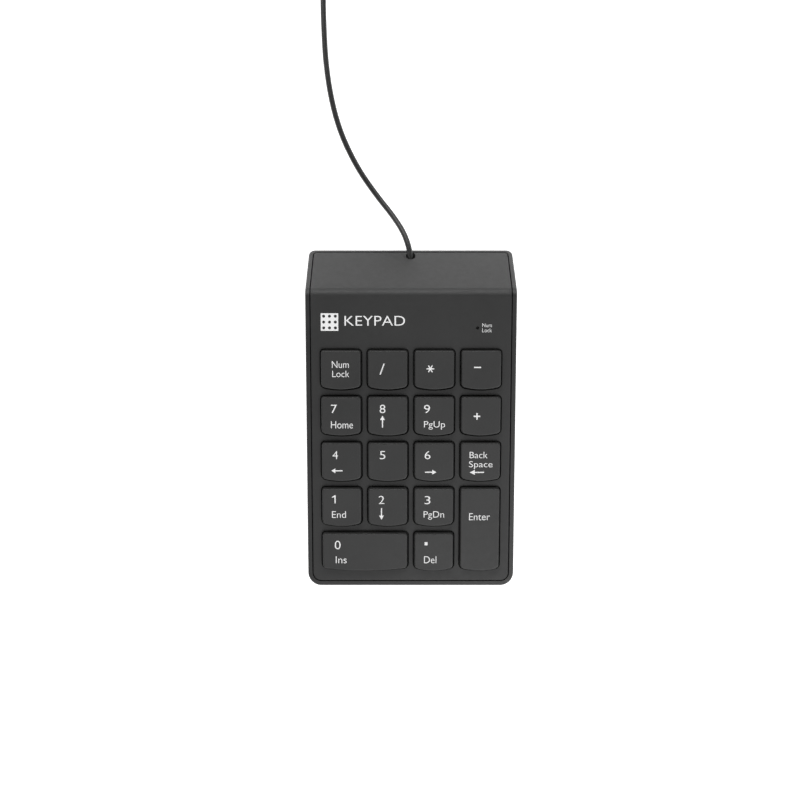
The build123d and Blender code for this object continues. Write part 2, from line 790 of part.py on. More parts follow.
# ---- feet -------------------------------------------------------------------------------
with BuildPart() as feet:
    with BuildSketch():
        with Locations(*[(side * foot_side, y) for side in (-1, 1) for y in (foot_front, foot_rear)]):
            Circle(foot_radius - pilot_clearance)
    extrude(amount=foot_height + foot_recess)
    fillet(feet.faces().group_by(Axis.Z)[0].edges(), foot_round)
keep(feet.part, "feet")

# ---- cable clamp ------------------------------------------------------------------------
clamp_middle = clamp_rear - clamp_width / 2
clamp_bottom = cable_route[0][2] + fit_clearance / 2
clamp_screws_at = [(-clamp_screw_side, clamp_middle), (clamp_screw_side, clamp_middle)]
with BuildPart() as cable_clamp:
    with BuildSketch(Plane.XY.offset(clamp_bottom)):
        with Locations((0, clamp_middle)):
            Rectangle(clamp_length, clamp_width)
        with Locations(*clamp_screws_at):
            Circle(small_screw_radius + screw_clearance, mode=Mode.SUBTRACT)
    extrude(amount=clamp_height)
    with BuildSketch(Plane.XY.offset(clamp_bottom + clamp_height)):
        with Locations(*clamp_screws_at):
            Circle(small_head_radius + screw_clearance)
    extrude(amount=-small_head_height, mode=Mode.SUBTRACT)
    with BuildSketch(Plane.XZ.offset(-clamp_rear - clamp_width)):
        with Locations((0, cable_route[0][2])):
            Circle(cable_radius + pilot_clearance)
    extrude(amount=3 * clamp_width, mode=Mode.SUBTRACT)
keep(cable_clamp.part, "cable_clamp")

from_above = Plane((0, 0, 0), x_dir=(1, 0, 0), z_dir=(0, 0, -1))
clamp_seat = -(clamp_bottom + clamp_height - small_head_height)
turned = [(x, -y) for x, y in clamp_screws_at]
screws("clamp_screws", from_above, turned, clamp_seat, -floor_top - fit_clearance, *small)


# ---- cable ------------------------------------------------------------------------------
def tube(route, radius):
    """A round tube along straight runs joined by arcs as large as the runs allow."""
    points = [Vector(*point) for point in route]
    runs = [after - before for before, after in zip(points, points[1:])]
    radii = []
    for before, after in zip(runs, runs[1:]):
        turn = math.radians(before.get_angle(after))
        radii.append(0.45 * min(before.length, after.length) / math.tan(turn / 2))
    with BuildPart() as solid:
        with BuildLine() as path:
            FilletPolyline(*points, radius=radii)
        with BuildSketch(path.line ^ 0):
            Circle(radius)
        sweep(path=path.line)
    length = path.wire().length
    share = solid.part.volume / (math.pi * radius**2 * length)
    print(f"tube of {length:.1f} mm, volume {share:.4f} of its section times its length")
    print("runs", [round(run.length, 1) for run in runs], "radii", [round(r, 1) for r in radii])
    return solid.part


keep(tube(cable_route, cable_radius), "usb_cable")
keep(tube(tail_route, cable_radius), "usb_cable_tail")

tie_side = coil_centre[0] + coil_turn_radius
with BuildPart() as tie_space:
    with BuildSketch(Plane.XZ.offset(-coil_centre[1] - tie_width / 2)):
        with Locations((tie_side, coil_thickness / 2)):
            Rectangle(2 * coil_thickness, 2 * coil_thickness)
            RectangleRounded(
                coil_thickness - 2 * tie_thickness,
                coil_thickness - 2 * tie_thickness,
                coil_corner - tie_thickness,
                mode=Mode.SUBTRACT,
            )
    extrude(amount=tie_width)

coil_axis = Plane((*coil_centre, 0), x_dir=(1, 0, 0), z_dir=(0, -1, 0))
with BuildPart() as cable_coil:
    with BuildSketch(coil_axis):
        with Locations((coil_turn_radius, coil_thickness / 2)):
            RectangleRounded(coil_thickness, coil_thickness, coil_corner)
    revolve(axis=Axis((*coil_centre, 0), (0, 0, 1)))
    add(tie_space.part, mode=Mode.SUBTRACT)
keep(cable_coil.part, "cable_coil")

with BuildPart() as cable_tie:
    with BuildSketch(Plane.XZ.offset(-coil_centre[1] - tie_width / 2)):
        with Locations((tie_side, coil_thickness / 2)):
            RectangleRounded(coil_thickness, coil_thickness, coil_corner)
            RectangleRounded(
                coil_thickness - 2 * tie_thickness,
                coil_thickness - 2 * tie_thickness,
                coil_corner - tie_thickness,
                mode=Mode.SUBTRACT,
            )
    extrude(amount=tie_width)
    with Locations((tie_side + coil_thickness / 2 + tie_head[0] / 2, coil_centre[1], coil_thickness / 2)):
        Box(*tie_head)
    fillet(cable_tie.faces().sort_by(Axis.X)[-1].edges(), tie_round)
keep(cable_tie.part, "cable_tie")

# ---- signal wires -----------------------------------------------------------------------
wire_start = Vector(*cable_route[0])
connector_foot = deck.from_local_coords((connector_side, board_place, board_back - connector_size[2]))
with BuildPart() as signal_wires:
    for number, (side, level) in enumerate([(-1, -1), (-1, 1), (1, -1), (1, 1)]):
        x = wire_start.X + side * wire_spacing / 2
        z = wire_start.Z + level * wire_spacing / 2
        x_end = connector_foot.X + (number - 1.5) * 2 * wire_spacing
        with BuildLine() as wire_path:
            FilletPolyline(
                (x, wire_start.Y, z),
                (x, wire_start.Y - wire_run, z),
                (x_end, connector_foot.Y, z),
                (x_end, connector_foot.Y, connector_foot.Z - wire_gap),
                radius=wire_corner,
            )
        with BuildSketch(wire_path.line ^ 0):
            Circle(wire_radius)
        sweep(path=wire_path.line)
keep(signal_wires.part, "signal_wires")

# ---- plug -------------------------------------------------------------------------------
plug_y, plug_z = plug_axis
body_rear = plug_rear + relief_length
body_front = body_rear + plug_body[0]
shell_rear = body_front - shell_seat
shell_front = body_front + shell_reach


def across_plug(x):
    """The plane square to the plug at x, with its own x along +Y and its own y along +Z."""
    return Plane((x, plug_y, plug_z), x_dir=(0, 1, 0), z_dir=(1, 0, 0))


with BuildPart() as plug_overmould:
    with BuildSketch(across_plug(plug_rear)):
        Circle(relief_radii[0])
    with BuildSketch(across_plug(body_rear)):
        Circle(relief_radii[1])
    loft()
    with BuildSketch(across_plug(body_rear)):
        RectangleRounded(plug_body[1], plug_body[2], plug_corner)
    extrude(amount=plug_body[0])
    fillet(plug_overmould.faces().sort_by(Axis.X)[-1].edges(), plug_round)
    with BuildSketch(across_plug(shell_rear)):
        Rectangle(*shell_section)
    extrude(amount=2 * shell_seat, mode=Mode.SUBTRACT)
keep(plug_overmould.part, "plug_overmould")

with BuildPart() as plug_shell:
    with BuildSketch(across_plug(shell_rear)):
        RectangleRounded(*shell_section, shell_wall)
        Rectangle(shell_section[0] - 2 * shell_wall, shell_section[1] - 2 * shell_wall, mode=Mode.SUBTRACT)
    extrude(amount=shell_front - shell_rear)
    with Locations(*[(body_front + latch_place, plug_y + side * latch_side, plug_z) for side in (-1, 1)]):
        Box(*latch_hole, 2 * shell_section[1], mode=Mode.SUBTRACT)
keep(plug_shell.part, "plug_shell")

insert_bottom = shell_wall - shell_section[1] / 2
with BuildPart() as plug_insert:
    with BuildSketch(across_plug(shell_rear)):
        Rectangle(shell_section[0] - 2 * shell_wall, shell_section[1] - 2 * shell_wall)
    extrude(amount=shell_seat)
    with BuildSketch(across_plug(body_front)):
        with Locations((0, insert_bottom + tongue_section[1] / 2)):
            Rectangle(*tongue_section)
    extrude(amount=shell_reach - tongue_back)
keep(plug_insert.part, "plug_insert")

with BuildPart() as plug_contacts:
    contact_x = body_front + contact_size[0] / 2 + contact_place
    contact_z = plug_z + insert_bottom + tongue_section[1] + contact_size[2] / 2
    with Locations((contact_x, plug_y, contact_z)):
        with GridLocations(contact_pitch, contact_pitch, 1, contact_count):
            Box(*contact_size)
keep(plug_contacts.part, "plug_contacts")

print(f"case {case_width:.2f} x {case_length:.2f} mm, ridge {ridge_height:.2f} high at Y {ridge_place:.2f}")
print(f"deck through Y {field_middle:.3f}, Z {deck_height:.3f}, front edge {front_height:.2f} high")
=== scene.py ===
"""Looks of a wired numeric keypad: moulded case, printed key caps, cable in a put-away coil, and its plug.

Sizes are millimetres, brought to metres by MM where a mesh is made. Deck coordinates are u across the
keys, v along them to the rear and h square to the deck, from the middle of the key field.
"""

import json
import math

import bmesh
import bpy
import numpy as np
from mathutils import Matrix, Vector

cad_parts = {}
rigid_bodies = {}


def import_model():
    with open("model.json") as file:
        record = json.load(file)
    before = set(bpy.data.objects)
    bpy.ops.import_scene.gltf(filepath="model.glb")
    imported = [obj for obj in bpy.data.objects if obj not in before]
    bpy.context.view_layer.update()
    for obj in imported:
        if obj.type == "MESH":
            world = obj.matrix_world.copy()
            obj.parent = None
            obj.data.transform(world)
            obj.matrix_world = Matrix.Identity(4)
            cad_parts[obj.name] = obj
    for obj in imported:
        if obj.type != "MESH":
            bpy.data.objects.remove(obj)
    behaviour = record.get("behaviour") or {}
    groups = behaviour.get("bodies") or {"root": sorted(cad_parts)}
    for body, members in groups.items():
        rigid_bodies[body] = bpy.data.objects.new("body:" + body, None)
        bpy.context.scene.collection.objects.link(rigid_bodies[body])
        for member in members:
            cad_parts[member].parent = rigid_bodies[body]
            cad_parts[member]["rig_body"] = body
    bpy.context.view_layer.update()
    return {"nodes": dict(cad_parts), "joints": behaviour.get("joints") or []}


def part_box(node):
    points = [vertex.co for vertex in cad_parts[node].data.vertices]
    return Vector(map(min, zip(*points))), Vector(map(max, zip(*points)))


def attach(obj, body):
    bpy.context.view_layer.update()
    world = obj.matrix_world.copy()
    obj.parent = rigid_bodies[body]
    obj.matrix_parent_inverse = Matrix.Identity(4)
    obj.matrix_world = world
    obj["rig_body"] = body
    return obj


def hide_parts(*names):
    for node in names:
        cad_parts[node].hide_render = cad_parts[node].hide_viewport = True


MM = 0.001
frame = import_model()
nodes = frame["nodes"]

# ---- deck frame --------------------------------------------------------------------------
press = next(joint for joint in frame["joints"] if joint["name"] == "key_5_press")
UP = -np.array(press["axis"], float)
ACROSS = np.array([1.0, 0.0, 0.0])
ALONG = np.cross(UP, ACROSS)
plate_low, plate_high = (np.array(corner, float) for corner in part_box("support_plate"))
SUPPORT_DEPTH = 7.5  # from the deck's face down to the middle of the support plate
DECK = (plate_low + plate_high) / 2 + SUPPORT_DEPTH * MM * UP

# ---- key sizes ---------------------------------------------------------------------------
PITCH = 19.05
SIDE_SPACING, ROW_SPACING = 2.55, 2.7
CAP_RISE, CAP_SKIRT, CAP_ROOF, CAP_WALL = 2.4, 0.6, 1.2, 1.1
CAP_DRAFT = math.tan(math.radians(5.0))
CAP_EDGE, CAP_LIP = 0.4, 0.12
CAP_BELLY, REAR_CORNER, FRONT_CORNER = 1.2, 1.3, 2.0
CAP_DISH = 0.05
STEM_RADIUS, STEM_BOTTOM = 2.5, -4.2
LUG_HALVES, LUG_LOW, LUG_HIGH = (3.3, 0.6), -3.2, -2.6
HOOK_PLACE, HOOK_OUT, HOOK_SPREAD = 10.25, 2.41, 1.15
HOOK_HALVES, HOOK_LOW = (0.65, 0.35), -2.75
POST_TOP = CAP_RISE - CAP_ROOF + 0.2
INK_LIFT, INK_DEPTH = 0.012, 0.008

# name, column, row, columns wide, rows long, then what is printed: words or a sign, with the box that it
# fills, as low u, high u, low v, high v from the middle of the key
KEYS = [
    ("key_num_lock", 0, 0, 1, 1, [("Num", -3.58, 3.26, 0.95, 3.75), ("Lock", -3.47, 3.47, -2.80, -0.16)]),
    ("key_divide", 1, 0, 1, 1, [("/", -3.31, -1.20, -1.77, 2.69)]),
    ("key_multiply", 2, 0, 1, 1, [("star", -3.25, -0.11, -0.95, 2.12)]),
    ("key_minus", 3, 0, 1, 1, [("minus", -2.99, -0.14, 0.93, 1.43)]),
    ("key_7", 0, 1, 1, 1, [("7", -4.11, -1.69, 1.42, 4.90), ("Home", -4.17, 4.82, -4.92, -1.89)]),
    ("key_8", 1, 1, 1, 1, [("8", -3.27, -0.95, 1.42, 4.90), ("up", -3.14, -1.14, -4.59, 0.35)]),
    ("key_9", 2, 1, 1, 1, [("9", -4.22, -1.76, 1.42, 4.83), ("PgUp", -4.20, 4.42, -5.38, -1.89)]),
    ("key_plus", 3, 1, 1, 1, [("plus", -2.94, -0.25, -1.27, 1.48)]),
    ("key_4", 0, 2, 1, 1, [("4", -3.66, -1.43, 1.38, 4.73), ("left", -4.19, 0.43, -4.52, -2.56)]),
    ("key_5", 1, 2, 1, 1, [("5", -3.32, -0.98, 1.32, 4.73)]),
    ("key_6", 2, 2, 1, 1, [("6", -3.87, -1.52, 1.32, 4.73), ("right", -3.72, 0.93, -5.11, -3.15)]),
    (
        "key_backspace",
        3,
        2,
        1,
        1,
        [
            ("Back", -4.47, 2.92, 1.74, 4.38),
            ("Space", -4.68, 4.98, -2.87, 0.49),
            ("left", -4.44, 1.54, -5.19, -3.23),
        ],
    ),
    ("key_1", 0, 3, 1, 1, [("1", -4.03, -2.50, 1.84, 5.23), ("End", -4.09, 1.69, -4.35, -1.55)]),
    ("key_2", 1, 3, 1, 1, [("2", -3.78, -1.43, 1.48, 4.98), ("down", -3.62, -1.66, -5.12, -0.27)]),
    ("key_3", 2, 3, 1, 1, [("3", -3.86, -1.49, 1.42, 4.83), ("PgDn", -4.25, 4.22, -5.12, -1.55)]),
    ("key_enter", 3, 3, 1, 2, [("Enter", -4.49, 4.16, 4.15, 7.13)]),
    ("key_0", 0, 4, 2, 1, [("0", -12.55, -10.13, 1.30, 4.94), ("Ins", -12.19, -7.63, -4.71, -1.71)]),
    ("key_decimal", 2, 4, 1, 1, [("point", -3.80, -2.58, 2.99, 4.35), ("Del", -4.03, 1.11, -4.71, -1.71)]),
]

# What is printed on the panel behind the keys, in deck coordinates.
DECK_WORDS = [
    ("KEYPAD", (-27.05, -2.47, 56.09, 60.03)),
    ("Num", (28.92, 32.75, 55.50, 57.00)),
    ("Lock", (28.92, 32.85, 53.40, 54.96)),
]
BADGE_PLACE, BADGE_WIDTH, BADGE_CELLS, BADGE_HOLE = (-33.13, 57.53), 7.12, 3, 0.62

# ---- cable and coil ----------------------------------------------------------------------
CABLE_RADIUS = 1.2
CABLE_ROUTE = [
    (0.0, 55.5, 8.5),
    (0.45, 66.0, 8.5),
    (-1.9, 76.2, 7.0),
    (-7.0, 85.0, 3.6),
    (-14.5, 94.5, 1.6),
    (-23.5, 107.5, 1.2),
    (-31.5, 125.0, 1.2),
    (-36.0, 147.0, 1.2),
    (-37.3, 171.0, 1.2),
    (-37.4, 190.0, 1.2),
]
TAIL_ROUTE = [
    (-21.0, 220.6, 7.6),
    (-13.5, 220.0, 5.6),
    (-8.5, 219.0, 4.1),
    (-3.0, 219.0, 4.0),
    (4.0, 219.0, 4.0),
]
COIL_CENTRE = (-23.0, 203.0)
COIL_LANES = [10.8, 13.2, 15.6, 18.0]
COIL_START = 195.0
POINTS_PER_TURN = 16
# radius lane and layer of each turn, from the floor up
COIL_TURNS = [
    *[(lane, 0) for lane in (3, 2, 1, 0)],
    *[(lane, 1) for lane in (0, 1, 2, 3)],
    *[(lane, 2) for lane in (3, 2, 1)],
    *[(lane, 3) for lane in (1, 2, 3)],
]
TIE_LIFT = 0.9
TIE_THICKNESS, TIE_WIDTH = 0.8, 4.0
PLUG_Y, PLUG_Z = 219.0, 4.0
RELIEF_REAR, RELIEF_FRONT = -3.0, 7.6
RELIEF_RADIUS, RELIEF_GROWTH, RELIEF_RIBS, RIB_DEPTH = 1.85, 0.75, 6, 0.17
GRIP_WIDTH, GRIP_HEIGHT, GRIP_CORNER = 15.5, 8.0, 2.2


# ---- materials ---------------------------------------------------------------------------
def material_tree(name):
    """A new node material, its shader, and a shorthand that adds a node and links what goes into it."""
    material = bpy.data.materials.new(name)
    material.use_nodes = True
    tree = material.node_tree
    shader = tree.nodes["Principled BSDF"]

    def add(kind, inputs=None, **settings):
        node = tree.nodes.new(kind)
        for key, value in settings.items():
            setattr(node, key, value)
        for key, value in (inputs or {}).items():
            if isinstance(value, bpy.types.NodeSocket):
                tree.links.new(value, node.inputs[key])
            else:
                node.inputs[key].default_value = value
        return node

    return material, tree, shader, add


def moulded(name, colour, roughness, grain=0.3, depth=0.006, drift=0.10, specular=0.5, coat=0.0):
    """Moulded plastic or rubber. A fine noise of the grain's size is the bump, a slow noise shifts the
    colour by the share drift either way, and a middling one shifts the roughness."""
    material, tree, shader, add = material_tree(name)
    place = add("ShaderNodeTexCoord").outputs["Object"]
    slow = add("ShaderNodeTexNoise", {"Vector": place, "Scale": 45.0, "Detail": 3.0, "Roughness": 0.55})
    middling = add("ShaderNodeTexNoise", {"Vector": place, "Scale": 420.0, "Detail": 4.0, "Roughness": 0.6})
    fine_scale = 1.0 / (grain * MM)
    fine = add("ShaderNodeTexNoise", {"Vector": place, "Scale": fine_scale, "Detail": 2.0, "Roughness": 0.5})
    ramp = add("ShaderNodeValToRGB", {"Fac": slow.outputs["Fac"]})
    ramp.color_ramp.elements[0].position = 0.3
    ramp.color_ramp.elements[1].position = 0.7
    ramp.color_ramp.elements[0].color = (*[c * (1 - drift) for c in colour], 1)
    ramp.color_ramp.elements[1].color = (*[c * (1 + drift) for c in colour], 1)
    tree.links.new(ramp.outputs["Color"], shader.inputs["Base Color"])
    spread = add(
        "ShaderNodeMapRange",
        {
            "Value": middling.outputs["Fac"],
            "From Min": 0.3,
            "From Max": 0.7,
            "To Min": roughness - 0.04,
            "To Max": roughness + 0.04,
        },
    )
    tree.links.new(spread.outputs["Result"], shader.inputs["Roughness"])
    bump = add("ShaderNodeBump", {"Height": fine.outputs["Fac"], "Strength": 1.0, "Distance": depth * MM})
    tree.links.new(bump.outputs["Normal"], shader.inputs["Normal"])
    shader.inputs["Specular IOR Level"].default_value = specular
    shader.inputs["Coat Weight"].default_value = coat
    shader.inputs["Coat Roughness"].default_value = 0.25
    return material


def metal(name, colour, roughness, stretch=(1.0, 1.0, 1.0), depth=0.004):
    """Plated metal: noise drawn out along the rolling direction gives fine lines and shifts the roughness."""
    material, tree, shader, add = material_tree(name)
    place = add("ShaderNodeTexCoord").outputs["Object"]
    drawn = add("ShaderNodeMapping", {"Vector": place, "Scale": stretch})
    lines = add("ShaderNodeTexNoise", {"Vector": drawn.outputs["Vector"], "Scale": 2500.0, "Detail": 4.0})
    patches = add("ShaderNodeTexNoise", {"Vector": place, "Scale": 300.0, "Detail": 3.0})
    spread = add(
        "ShaderNodeMapRange",
        {
            "Value": patches.outputs["Fac"],
            "From Min": 0.3,
            "From Max": 0.7,
            "To Min": roughness - 0.06,
            "To Max": roughness + 0.06,
        },
    )
    tree.links.new(spread.outputs["Result"], shader.inputs["Roughness"])
    bump = add("ShaderNodeBump", {"Height": lines.outputs["Fac"], "Strength": 0.6, "Distance": depth * MM})
    tree.links.new(bump.outputs["Normal"], shader.inputs["Normal"])
    tone = add("ShaderNodeValToRGB", {"Fac": patches.outputs["Fac"]})
    tone.color_ramp.elements[0].color = (*[c * 0.88 for c in colour], 1)
    tone.color_ramp.elements[1].color = (*colour, 1)
    tree.links.new(tone.outputs["Color"], shader.inputs["Base Color"])
    shader.inputs["Metallic"].default_value = 1.0
    return material


def printed(name, colour):
    """Pad-printed ink: nearly even colour with a faint mottle where the film is thinner."""
    material, tree, shader, add = material_tree(name)
    place = add("ShaderNodeTexCoord").outputs["Object"]
    mottle = add("ShaderNodeTexNoise", {"Vector": place, "Scale": 3000.0, "Detail": 3.0})
    tone = add("ShaderNodeValToRGB", {"Fac": mottle.outputs["Fac"]})
    tone.color_ramp.elements[0].color = (*[c * 0.9 for c in colour], 1)
    tone.color_ramp.elements[1].color = (*colour, 1)
    tree.links.new(tone.outputs["Color"], shader.inputs["Base Color"])
    shader.inputs["Roughness"].default_value = 0.55
    return material


def clear(name, colour, roughness, specular=0.5):
    """Clear moulded plastic with a little haze that varies from place to place."""
    material, tree, shader, add = material_tree(name)
    place = add("ShaderNodeTexCoord").outputs["Object"]
    haze = add("ShaderNodeTexNoise", {"Vector": place, "Scale": 900.0, "Detail": 2.0})
    limits = {"To Min": roughness, "To Max": roughness + 0.15}
    spread = add("ShaderNodeMapRange", {"Value": haze.outputs["Fac"], **limits})
    tree.links.new(spread.outputs["Result"], shader.inputs["Roughness"])
    shader.inputs["Base Color"].default_value = (*colour, 1)
    shader.inputs["Transmission Weight"].default_value = 0.85
    shader.inputs["Specular IOR Level"].default_value = specular
    shader.inputs["IOR"].default_value = 1.49
    return material


def laminate(name):
    """Circuit board: green mask, darker where traces leave it bare, over a faint weave of crossed waves."""
    material, tree, shader, add = material_tree(name)
    place = add("ShaderNodeTexCoord").outputs["Object"]
    threads = {"Vector": place, "Scale": 900.0, "Distortion": 0.4}
    warp = add("ShaderNodeTexWave", threads, bands_direction="X")
    weft = add("ShaderNodeTexWave", threads, bands_direction="Y")
    weave = add("ShaderNodeMath", {0: warp.outputs["Fac"], 1: weft.outputs["Fac"]}, operation="MULTIPLY")
    bump = add("ShaderNodeBump", {"Height": weave.outputs["Value"], "Strength": 0.5, "Distance": 0.01 * MM})
    tree.links.new(bump.outputs["Normal"], shader.inputs["Normal"])
    patches = add("ShaderNodeTexVoronoi", {"Vector": place, "Scale": 350.0})
    tone = add("ShaderNodeValToRGB", {"Fac": patches.outputs["Distance"]})
    tone.color_ramp.elements[0].color = (0.012, 0.07, 0.03, 1)
    tone.color_ramp.elements[1].color = (0.02, 0.12, 0.05, 1)
    tree.links.new(tone.outputs["Color"], shader.inputs["Base Color"])
    shader.inputs["Roughness"].default_value = 0.35
    return material


def grey(level):
    return (level, level, level)


CASE_BLACK = moulded("lower_case_satin_black", grey(0.021), 0.43, grain=0.28, depth=0.007)
COVER_BLACK = moulded("cover_satin_black", grey(0.022), 0.50, grain=0.28, depth=0.008)
CAP_BLACK = moulded("key_cap_satin_black", grey(0.025), 0.48, grain=0.22, depth=0.006)
FRAME_BLACK = moulded("guide_frame_black", grey(0.03), 0.55, grain=0.4, depth=0.006)
CABLE_BLACK = moulded("cable_sleeve_black", grey(0.012), 0.34, grain=0.6, depth=0.01, specular=0.5)
PLUG_BLACK = moulded("plug_overmould_black", grey(0.016), 0.45, grain=0.3, depth=0.008)
TIE_BLACK = moulded("tie_matt_black", grey(0.02), 0.6, grain=0.35, depth=0.01)
FOOT_BLACK = moulded("foot_rubber_black", grey(0.015), 0.8, grain=0.3, depth=0.02)
DOME_GREY = moulded("dome_silicone_grey", grey(0.45), 0.5, grain=0.5, depth=0.01)
FILM_CLEAR = moulded("membrane_film_pale", (0.55, 0.57, 0.55), 0.3, grain=0.8, depth=0.003)
PAD_GREY = moulded("pressure_pad_grey", grey(0.2), 0.75, grain=0.4, depth=0.02)
CHIP_BLACK = moulded("chip_resin_black", grey(0.02), 0.55, grain=0.2, depth=0.006)
SOCKET_WHITE = moulded("wire_connector_white", grey(0.7), 0.4, grain=0.4, depth=0.004, drift=0.05)
TONGUE_WHITE = moulded("plug_tongue_white", grey(0.68), 0.4, grain=0.4, depth=0.004, drift=0.05)
WIRE_RED = moulded("signal_wire_red", (0.45, 0.02, 0.015), 0.4, grain=0.5, depth=0.004)
LAMP_CLEAR = clear("lamp_lens_clear", (0.92, 0.95, 0.92), 0.12)
PIPE_SMOKE = clear("light_pipe_smoke", (0.006, 0.006, 0.006), 0.3, specular=0.1)
BOARD_GREEN = laminate("board_laminate_green")
SHEET_STEEL = metal("support_sheet_zinc", (0.55, 0.56, 0.57), 0.38, stretch=(1.0, 0.05, 1.0))
SCREW_ZINC = metal("screw_zinc", (0.6, 0.61, 0.62), 0.3)
WIRE_STEEL = metal("stabiliser_wire_steel", (0.6, 0.6, 0.6), 0.28)
SHELL_NICKEL = metal("plug_shell_nickel", (0.72, 0.71, 0.68), 0.26, stretch=(0.06, 1.0, 1.0))
CONTACT_GOLD = metal("contact_gold", (0.83, 0.6, 0.25), 0.22, stretch=(0.1, 1.0, 1.0))
INK_WHITE = printed("legend_ink_white", grey(0.95))


# ---- mesh helpers ------------------------------------------------------------------------
def on_deck(u, v, h):
    """Points of the row frame, in metres, for deck coordinates in millimetres."""
    u, v, h = np.broadcast_arrays(u, v, h)
    return DECK + MM * (u[..., None] * ACROSS + v[..., None] * ALONG + h[..., None] * UP)


def arc(centre, radius, start, end, count):
    """Points on a circle from one angle to another, in degrees."""
    angle = np.radians(np.linspace(start, end, count))
    return np.stack([centre[0] + radius * np.cos(angle), centre[1] + radius * np.sin(angle)], -1)


def stack(rings, close_start=True, close_end=True):
    """A skin over a stack of closed rings of points, (k, n, 3): quads from each ring to the next, and a
    fan to the middle of an end ring that is closed. Faces are turned so that they point outwards."""
    count, size = rings.shape[:2]
    points = rings.reshape(-1, 3)
    ring, step = np.meshgrid(np.arange(count - 1), np.arange(size), indexing="ij")
    here, there = ring * size + step, ring * size + (step + 1) % size
    faces = np.stack([here, there, there + size, here + size], -1).reshape(-1, 4).tolist()
    around = np.arange(size)
    after = (around + 1) % size
    if close_start:
        faces += np.stack([np.full(size, len(points)), after, around], -1).tolist()
        points = np.vstack([points, rings[0].mean(0)])
    if close_end:
        last = (count - 1) * size
        faces += np.stack([np.full(size, len(points)), last + around, last + after], -1).tolist()
        points = np.vstack([points, rings[-1].mean(0)])
    halves = [[face[0], face[2], face[3]] for face in faces if len(face) == 4]
    corners = np.array([face[:3] for face in faces] + halves)
    a, b, c = (points[corners[:, i]] - points.mean(0) for i in range(3))
    if np.einsum("ij,ij->", a, np.cross(b, c)) < 0:
        faces = [face[::-1] for face in faces]
    return points, faces


def piece(name, parts, material, body, sharp=32.0, replaces=()):
    """One object from several closed skins, with soft shading except across edges sharper than the angle."""
    points, faces, start = [], [], 0
    for part_points, part_faces in parts:
        points.append(part_points)
        faces += [[start + corner for corner in face] for face in part_faces]
        start += len(part_points)
    mesh = bpy.data.meshes.new(name)
    mesh.from_pydata(np.vstack(points).tolist(), [], faces)
    return finished(name, mesh, material, body, sharp, replaces)


def finished(name, mesh, material, body, sharp=32.0, replaces=()):
    """Shades the mesh, makes its object at the origin, and lets it ride on its body."""
    mesh.polygons.foreach_set("use_smooth", np.ones(len(mesh.polygons), bool))
    mesh.set_sharp_from_angle(angle=math.radians(sharp))
    mesh.materials.clear()
    mesh.materials.append(material)
    made = bpy.data.objects.new(name, mesh)
    bpy.context.scene.collection.objects.link(made)
    weighted = made.modifiers.new("even_shading", "WEIGHTED_NORMAL")
    weighted.keep_sharp = True
    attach(made, body)
    if replaces:
        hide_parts(*replaces)
    return made


def refined(node, material, sharp=28.0):
    """A merged copy of a CAD node with soft shading on its rounded edges; it stands for the node."""
    mesh = nodes[node].data.copy()
    work = bmesh.new()
    work.from_mesh(mesh)
    bmesh.ops.remove_doubles(work, verts=work.verts, dist=1e-7)
    bmesh.ops.dissolve_degenerate(work, edges=work.edges, dist=1e-7)
    work.to_mesh(mesh)
    work.free()
    if "custom_normal" in mesh.attributes:
        mesh.attributes.remove(mesh.attributes["custom_normal"])
    return finished(node + "_finished", mesh, material, nodes[node]["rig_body"], sharp, [node])


# ---- key caps ----------------------------------------------------------------------------
def cap_ring(width, length, inset):
    """A cap's outline moved in by inset: straight sides, two rear corner arcs, and a front edge that is one
    wide belly arc, joined to the sides by two corner arcs that touch it from inside."""
    half, reach = width / 2 - inset, length / 2 - inset
    rear = max(REAR_CORNER - inset, 0.2)
    front = max(FRONT_CORNER - inset, 0.3)
    belly = (half**2 + CAP_BELLY**2) / (2 * CAP_BELLY)
    middle = -reach + belly
    low = middle - math.sqrt((belly - front) ** 2 - (half - front) ** 2)
    turn = math.degrees(math.atan2(middle - low, half - front))
    side_v = np.linspace(low, reach - rear, 9)[1:-1]
    top_u = np.linspace(half - rear, rear - half, 15)[1:-1]
    return np.vstack(
        [
            np.stack([np.full(7, half), side_v], -1),
            arc((half - rear, reach - rear), rear, 0, 90, 8),
            np.stack([top_u, np.full(13, reach)], -1),
            arc((rear - half, reach - rear), rear, 90, 180, 8),
            np.stack([np.full(7, -half), side_v[::-1]], -1),
            arc((front - half, low), front, 180, 180 + turn, 9),
            arc((0, middle), belly, 180 + turn, 360 - turn, 17)[1:-1],
            arc((half - front, low), front, 360 - turn, 360, 9),
        ]
    )


def dish(u, v, width, length):
    """How far a cap's top lies below its rim: a shallow bowl that fades to nothing at the edges."""
    across = np.clip(1 - (2 * u / (width - 1.2)) ** 2, 0, 1)
    along = np.clip(1 - (2 * v / (length - 1.2)) ** 2, 0, 1)
    return CAP_DISH * across * along


